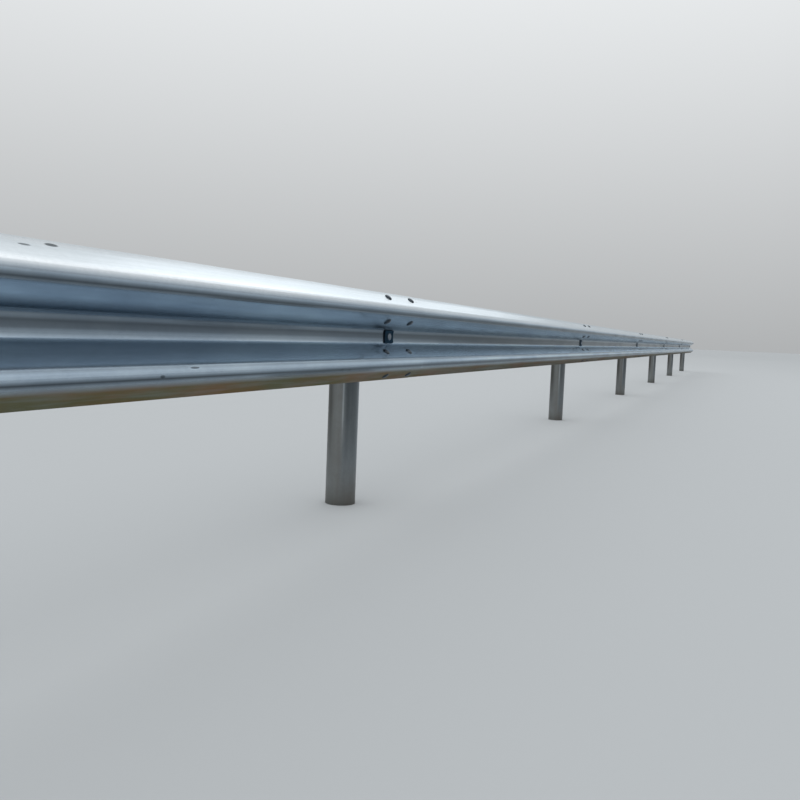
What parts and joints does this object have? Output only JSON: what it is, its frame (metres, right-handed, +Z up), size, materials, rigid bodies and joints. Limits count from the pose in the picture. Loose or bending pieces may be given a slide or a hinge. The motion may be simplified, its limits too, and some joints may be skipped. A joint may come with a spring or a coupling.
{
  "type": "highway guardrail section",
  "caption": "Straight roadside guardrail run: lapped two-wave steel rails on round tube posts with folded block-outs, plate washers and domed post caps.",
  "frame": {"origin": "centre of the first post's foot, at ground level", "axes": "+X along the rail from the first post to the last, -Y towards the traffic, +Z up"},
  "size_m": [24.3201, 0.3138, 0.802],
  "materials": {
    "galvanized_rail": "hot-dip galvanized sheet, bright and lightly spangled",
    "galvanized_post": "hot-dip galvanized tube, dull grey",
    "galvanized_plate": "hot-dip galvanized folded plate, dull grey",
    "galvanized_fastener": "hot-dip galvanized plate washer and bolts, darker grey"
  },
  "bodies": {
    "root": {"post_1": "galvanized_post", "post_cap_1": "galvanized_post", "blockout_1": "galvanized_plate", "plate_washer_1": "galvanized_fastener", "post_2": "galvanized_post", "post_cap_2": "galvanized_post", "blockout_2": "galvanized_plate", "plate_washer_2": "galvanized_fastener", "post_3": "galvanized_post", "post_cap_3": "galvanized_post", "blockout_3": "galvanized_plate", "plate_washer_3": "galvanized_fastener", "post_4": "galvanized_post", "post_cap_4": "galvanized_post", "blockout_4": "galvanized_plate", "plate_washer_4": "galvanized_fastener", "post_5": "galvanized_post", "post_cap_5": "galvanized_post", "blockout_5": "galvanized_plate", "plate_washer_5": "galvanized_fastener", "post_6": "galvanized_post", "post_cap_6": "galvanized_post", "blockout_6": "galvanized_plate", "plate_washer_6": "galvanized_fastener", "post_7": "galvanized_post", "post_cap_7": "galvanized_post", "blockout_7": "galvanized_plate", "plate_washer_7": "galvanized_fastener", "rail_1": "galvanized_rail", "rail_2": "galvanized_rail", "rail_3": "galvanized_rail", "rail_4": "galvanized_rail", "rail_5": "galvanized_rail", "rail_6": "galvanized_rail"}
  },
  "joints": []
}
